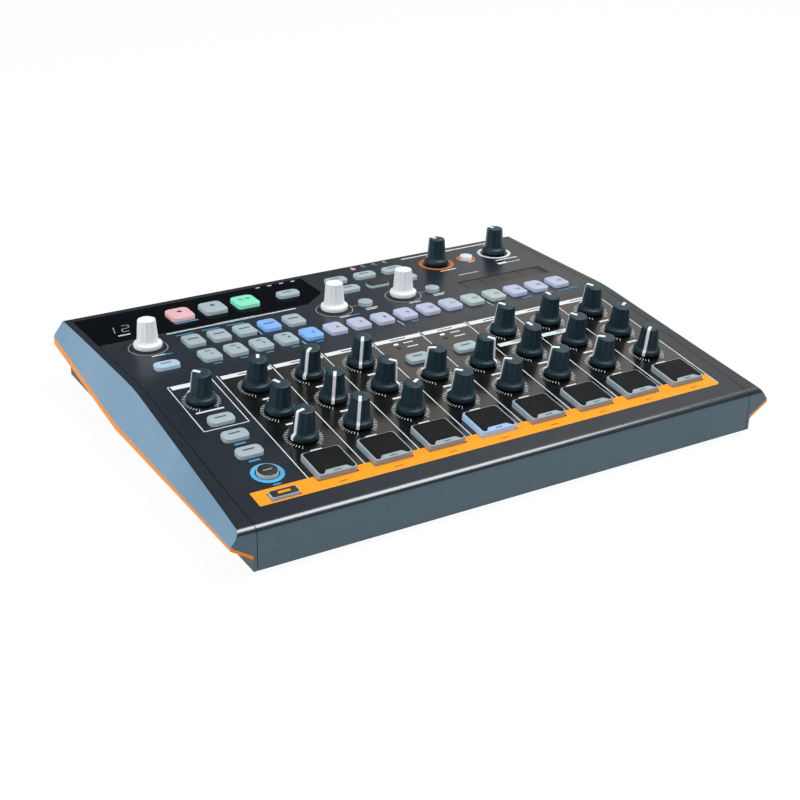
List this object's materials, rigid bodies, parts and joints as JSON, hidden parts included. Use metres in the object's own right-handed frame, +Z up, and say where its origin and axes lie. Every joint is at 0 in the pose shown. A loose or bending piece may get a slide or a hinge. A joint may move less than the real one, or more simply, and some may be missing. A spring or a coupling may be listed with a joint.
{
  "type": "drum machine",
  "caption": "Table-top drum machine with a sloping control field of knobs over striking pads, step keys, a display window and flared side cheeks.",
  "frame": {"origin": "on the table plane, centre of the bounding box seen from above", "axes": "+X to the player's right, +Y away from the player towards the sockets, +Z up"},
  "size_m": [0.398, 0.2986, 0.068],
  "materials": {
    "panel": "satin",
    "tray": "satin",
    "cheek": "satin",
    "trim": "satin",
    "window": "gloss",
    "display": "gloss",
    "touch": "matt",
    "light_pipe": "clear",
    "board": "matt",
    "rotary": "plated",
    "switch": "matt",
    "jack": "plated",
    "socket": "matt",
    "foot": "matt",
    "screw": "black zinc",
    "knob_dark": "satin",
    "knob_light": "satin",
    "pad": "matt",
    "key": "translucent satin",
    "record": "translucent satin",
    "play": "translucent satin",
    "power": "satin"
  },
  "bodies": {
    "housing": {"top_panel": "panel", "base_tray": "tray", "left_cheek": "cheek", "right_cheek": "cheek", "side_trims": "trim", "display_window": "window", "display_module": "display", "touch_strip": "touch", "indicator_lights": "light_pipe", "control_boards": "board", "rotary_bodies": "rotary", "key_switches": "switch", "main_board": "board", "signal_jacks": "jack", "data_power_sockets": "socket", "rubber_feet": "foot", "case_screws": "screw"},
    "knob_level_1": {"knob_level_1": "knob_dark"},
    "knob_mid_1": {"knob_mid_1": "knob_dark"},
    "knob_high_1": {"knob_high_1": "knob_dark"},
    "knob_level_2": {"knob_level_2": "knob_dark"},
    "knob_mid_2": {"knob_mid_2": "knob_dark"},
    "knob_high_2": {"knob_high_2": "knob_dark"},
    "knob_level_3": {"knob_level_3": "knob_dark"},
    "knob_mid_3": {"knob_mid_3": "knob_dark"},
    "knob_high_3": {"knob_high_3": "knob_dark"},
    "knob_level_4": {"knob_level_4": "knob_dark"},
    "knob_mid_4": {"knob_mid_4": "knob_dark"},
    "knob_level_5": {"knob_level_5": "knob_dark"},
    "knob_mid_5": {"knob_mid_5": "knob_dark"},
    "knob_level_6": {"knob_level_6": "knob_dark"},
    "knob_mid_6": {"knob_mid_6": "knob_dark"},
    "knob_high_6": {"knob_high_6": "knob_dark"},
    "knob_level_7": {"knob_level_7": "knob_dark"},
    "knob_mid_7": {"knob_mid_7": "knob_dark"},
    "knob_high_7": {"knob_high_7": "knob_dark"},
    "knob_level_8": {"knob_level_8": "knob_dark"},
    "knob_mid_8": {"knob_mid_8": "knob_dark"},
    "knob_high_8": {"knob_high_8": "knob_dark"},
    "knob_metronome": {"knob_metronome": "knob_dark"},
    "knob_drive": {"knob_drive": "knob_dark"},
    "knob_volume": {"knob_volume": "knob_dark"},
    "encoder_tempo": {"encoder_tempo": "knob_light"},
    "encoder_roll": {"encoder_roll": "knob_light"},
    "encoder_swing": {"encoder_swing": "knob_light"},
    "pad_1": {"pad_1": "pad"},
    "pad_2": {"pad_2": "pad"},
    "pad_3": {"pad_3": "pad"},
    "pad_4": {"pad_4": "pad"},
    "pad_5": {"pad_5": "pad"},
    "pad_6": {"pad_6": "pad"},
    "pad_7": {"pad_7": "pad"},
    "pad_8": {"pad_8": "pad"},
    "record_key": {"record_key": "record"},
    "stop_key": {"stop_key": "key"},
    "play_key": {"play_key": "play"},
    "square_keys": {"square_keys": "key"},
    "pill_buttons": {"pill_buttons": "key"},
    "small_buttons": {"small_buttons": "key"},
    "power_button": {"power_button": "power"}
  },
  "joints": [
    {"name": "knob_level_1_turn", "type": "hinge", "parent": "housing", "child": "knob_level_1", "pos_m": [-0.1158, -0.0773, 0.03857], "axis": [0, -0.1045, 0.9945], "range_deg": [-255, 45]},
    {"name": "knob_mid_1_turn", "type": "hinge", "parent": "housing", "child": "knob_mid_1", "pos_m": [-0.1158, -0.04527, 0.04193], "axis": [0, -0.1045, 0.9945], "range_deg": [-174, 126]},
    {"name": "knob_high_1_turn", "type": "hinge", "parent": "housing", "child": "knob_high_1", "pos_m": [-0.1158, -0.01325, 0.0453], "axis": [0, -0.1045, 0.9945], "range_deg": [-125, 175]},
    {"name": "knob_level_2_turn", "type": "hinge", "parent": "housing", "child": "knob_level_2", "pos_m": [-0.07763, -0.0773, 0.03857], "axis": [0, -0.1045, 0.9945], "range_deg": [-299, 1]},
    {"name": "knob_mid_2_turn", "type": "hinge", "parent": "housing", "child": "knob_mid_2", "pos_m": [-0.07763, -0.04527, 0.04193], "axis": [0, -0.1045, 0.9945], "range_deg": [-299, 1]},
    {"name": "knob_high_2_turn", "type": "hinge", "parent": "housing", "child": "knob_high_2", "pos_m": [-0.07763, -0.01325, 0.0453], "axis": [0, -0.1045, 0.9945], "range_deg": [-280, 20]},
    {"name": "knob_level_3_turn", "type": "hinge", "parent": "housing", "child": "knob_level_3", "pos_m": [-0.03946, -0.0773, 0.03857], "axis": [0, -0.1045, 0.9945], "range_deg": [-90, 210]},
    {"name": "knob_mid_3_turn", "type": "hinge", "parent": "housing", "child": "knob_mid_3", "pos_m": [-0.03946, -0.04527, 0.04193], "axis": [0, -0.1045, 0.9945], "range_deg": [-12, 288]},
    {"name": "knob_high_3_turn", "type": "hinge", "parent": "housing", "child": "knob_high_3", "pos_m": [-0.03946, -0.01325, 0.0453], "axis": [0, -0.1045, 0.9945], "range_deg": [-298, 2]},
    {"name": "knob_level_4_turn", "type": "hinge", "parent": "housing", "child": "knob_level_4", "pos_m": [-0.00129, -0.0773, 0.03857], "axis": [0, -0.1045, 0.9945], "range_deg": [-202, 98]},
    {"name": "knob_mid_4_turn", "type": "hinge", "parent": "housing", "child": "knob_mid_4", "pos_m": [-0.00129, -0.04527, 0.04193], "axis": [0, -0.1045, 0.9945], "range_deg": [-217, 83]},
    {"name": "knob_level_5_turn", "type": "hinge", "parent": "housing", "child": "knob_level_5", "pos_m": [0.03688, -0.0773, 0.03857], "axis": [0, -0.1045, 0.9945], "range_deg": [-206, 94]},
    {"name": "knob_mid_5_turn", "type": "hinge", "parent": "housing", "child": "knob_mid_5", "pos_m": [0.03688, -0.04527, 0.04193], "axis": [0, -0.1045, 0.9945], "range_deg": [-5, 295]},
    {"name": "knob_level_6_turn", "type": "hinge", "parent": "housing", "child": "knob_level_6", "pos_m": [0.07505, -0.0773, 0.03857], "axis": [0, -0.1045, 0.9945], "range_deg": [-210, 90]},
    {"name": "knob_mid_6_turn", "type": "hinge", "parent": "housing", "child": "knob_mid_6", "pos_m": [0.07505, -0.04527, 0.04193], "axis": [0, -0.1045, 0.9945], "range_deg": [-158, 142]},
    {"name": "knob_high_6_turn", "type": "hinge", "parent": "housing", "child": "knob_high_6", "pos_m": [0.07505, -0.01325, 0.0453], "axis": [0, -0.1045, 0.9945], "range_deg": [-184, 116]},
    {"name": "knob_level_7_turn", "type": "hinge", "parent": "housing", "child": "knob_level_7", "pos_m": [0.11322, -0.0773, 0.03857], "axis": [0, -0.1045, 0.9945], "range_deg": [-204, 96]},
    {"name": "knob_mid_7_turn", "type": "hinge", "parent": "housing", "child": "knob_mid_7", "pos_m": [0.11322, -0.04527, 0.04193], "axis": [0, -0.1045, 0.9945], "range_deg": [-178, 122]},
    {"name": "knob_high_7_turn", "type": "hinge", "parent": "housing", "child": "knob_high_7", "pos_m": [0.11322, -0.01325, 0.0453], "axis": [0, -0.1045, 0.9945], "range_deg": [-155, 145]},
    {"name": "knob_level_8_turn", "type": "hinge", "parent": "housing", "child": "knob_level_8", "pos_m": [0.15139, -0.0773, 0.03857], "axis": [0, -0.1045, 0.9945], "range_deg": [-277, 23]},
    {"name": "knob_mid_8_turn", "type": "hinge", "parent": "housing", "child": "knob_mid_8", "pos_m": [0.15139, -0.04527, 0.04193], "axis": [0, -0.1045, 0.9945], "range_deg": [-91, 209]},
    {"name": "knob_high_8_turn", "type": "hinge", "parent": "housing", "child": "knob_high_8", "pos_m": [0.15139, -0.01325, 0.0453], "axis": [0, -0.1045, 0.9945], "range_deg": [-180, 120]},
    {"name": "knob_metronome_turn", "type": "hinge", "parent": "housing", "child": "knob_metronome", "pos_m": [-0.155, -0.01484, 0.04513], "axis": [0, -0.1045, 0.9945], "range_deg": [-195, 105]},
    {"name": "knob_drive_turn", "type": "hinge", "parent": "housing", "child": "knob_drive", "pos_m": [0.1016, 0.11687, 0.04597], "axis": [0, 0.0244, 0.9997], "range_deg": [-170, 130]},
    {"name": "knob_volume_turn", "type": "hinge", "parent": "housing", "child": "knob_volume", "pos_m": [0.155, 0.11647, 0.04598], "axis": [0, 0.0244, 0.9997], "range_deg": [-180, 120]},
    {"name": "encoder_tempo_turn", "type": "hinge", "parent": "housing", "child": "encoder_tempo", "pos_m": [-0.155, 0.07108, 0.04709], "axis": [0, 0.0244, 0.9997], "continuous": true},
    {"name": "encoder_roll_turn", "type": "hinge", "parent": "housing", "child": "encoder_roll", "pos_m": [-0.0132, 0.07108, 0.04709], "axis": [0, 0.0244, 0.9997], "continuous": true},
    {"name": "encoder_swing_turn", "type": "hinge", "parent": "housing", "child": "encoder_swing", "pos_m": [0.044, 0.07108, 0.04709], "axis": [0, 0.0244, 0.9997], "continuous": true},
    {"name": "pad_1_press", "type": "slide", "parent": "housing", "child": "pad_1", "axis": [0, -0.1045, 0.9945], "range_m": [-0.001, 0], "stiffness_N_per_m": 1500, "springref_m": 0.0003},
    {"name": "pad_2_press", "type": "slide", "parent": "housing", "child": "pad_2", "axis": [0, -0.1045, 0.9945], "range_m": [-0.001, 0], "stiffness_N_per_m": 1500, "springref_m": 0.0003},
    {"name": "pad_3_press", "type": "slide", "parent": "housing", "child": "pad_3", "axis": [0, -0.1045, 0.9945], "range_m": [-0.001, 0], "stiffness_N_per_m": 1500, "springref_m": 0.0003},
    {"name": "pad_4_press", "type": "slide", "parent": "housing", "child": "pad_4", "axis": [0, -0.1045, 0.9945], "range_m": [-0.001, 0], "stiffness_N_per_m": 1500, "springref_m": 0.0003},
    {"name": "pad_5_press", "type": "slide", "parent": "housing", "child": "pad_5", "axis": [0, -0.1045, 0.9945], "range_m": [-0.001, 0], "stiffness_N_per_m": 1500, "springref_m": 0.0003},
    {"name": "pad_6_press", "type": "slide", "parent": "housing", "child": "pad_6", "axis": [0, -0.1045, 0.9945], "range_m": [-0.001, 0], "stiffness_N_per_m": 1500, "springref_m": 0.0003},
    {"name": "pad_7_press", "type": "slide", "parent": "housing", "child": "pad_7", "axis": [0, -0.1045, 0.9945], "range_m": [-0.001, 0], "stiffness_N_per_m": 1500, "springref_m": 0.0003},
    {"name": "pad_8_press", "type": "slide", "parent": "housing", "child": "pad_8", "axis": [0, -0.1045, 0.9945], "range_m": [-0.001, 0], "stiffness_N_per_m": 1500, "springref_m": 0.0003},
    {"name": "record_key_press", "type": "slide", "parent": "housing", "child": "record_key", "axis": [0, 0.0244, 0.9997], "range_m": [-0.0015, 0], "stiffness_N_per_m": 600, "springref_m": 0.0003},
    {"name": "stop_key_press", "type": "slide", "parent": "housing", "child": "stop_key", "axis": [0, 0.0244, 0.9997], "range_m": [-0.0015, 0], "stiffness_N_per_m": 600, "springref_m": 0.0003},
    {"name": "play_key_press", "type": "slide", "parent": "housing", "child": "play_key", "axis": [0, 0.0244, 0.9997], "range_m": [-0.0015, 0], "stiffness_N_per_m": 600, "springref_m": 0.0003},
    {"name": "square_keys_press", "type": "slide", "parent": "housing", "child": "square_keys", "axis": [0, 0.0244, 0.9997], "range_m": [-0.0015, 0], "stiffness_N_per_m": 3000, "springref_m": 0.0003},
    {"name": "pill_buttons_press", "type": "slide", "parent": "housing", "child": "pill_buttons", "axis": [0, -0.0401, 0.9992], "range_m": [-0.0015, 0], "stiffness_N_per_m": 3000, "springref_m": 0.0003},
    {"name": "small_buttons_press", "type": "slide", "parent": "housing", "child": "small_buttons", "axis": [0, -0.0401, 0.9992], "range_m": [-0.0015, 0], "stiffness_N_per_m": 2000, "springref_m": 0.0003},
    {"name": "power_button_press", "type": "slide", "parent": "housing", "child": "power_button", "axis": [0, 1, 0], "range_m": [-0.002, 0], "stiffness_N_per_m": 600, "springref_m": 0.0004}
  ]
}
